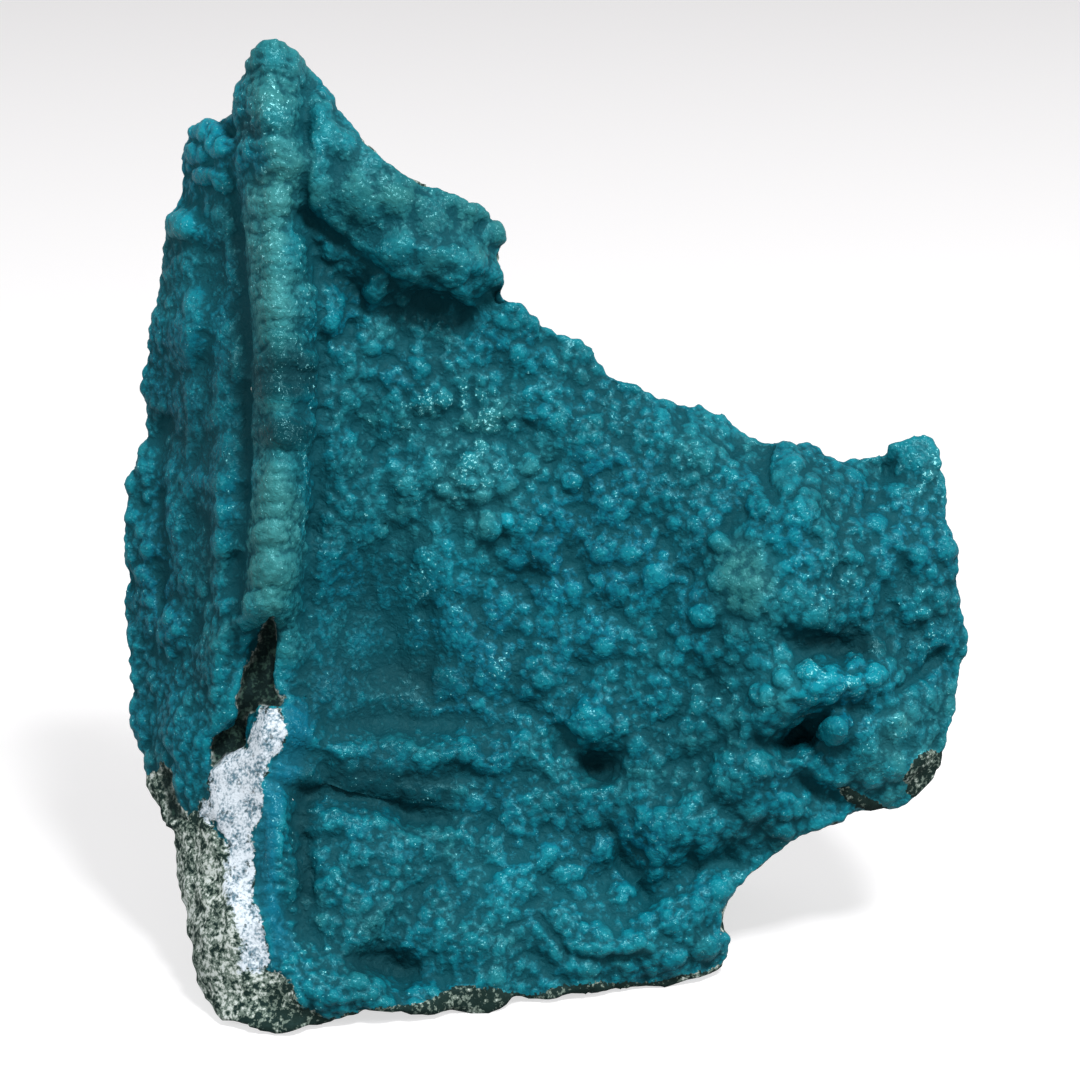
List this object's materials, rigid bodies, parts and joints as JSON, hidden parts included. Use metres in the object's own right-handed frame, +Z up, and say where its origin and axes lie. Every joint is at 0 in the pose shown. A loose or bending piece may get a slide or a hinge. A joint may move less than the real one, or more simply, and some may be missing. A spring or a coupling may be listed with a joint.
{
  "type": "chrysocolla with malachite specimen",
  "caption": "Hand specimen of blue-green botryoidal chrysocolla with malachite on its rock matrix, standing on its rough base.",
  "frame": {"origin": "centre of the specimen's bounding box in X and Y, on the surface that it stands on", "axes": "+Z up from the base to the peak, +X to the right of the crusted front, -Y out of the crusted front"},
  "size_m": [0.0876, 0.0468, 0.0932],
  "materials": {
    "mineral": "waxy blue-green crust with darker creases, on rough dark green and white rock"
  },
  "bodies": {
    "root": {"chrysocolla_specimen": "mineral"}
  },
  "joints": []
}
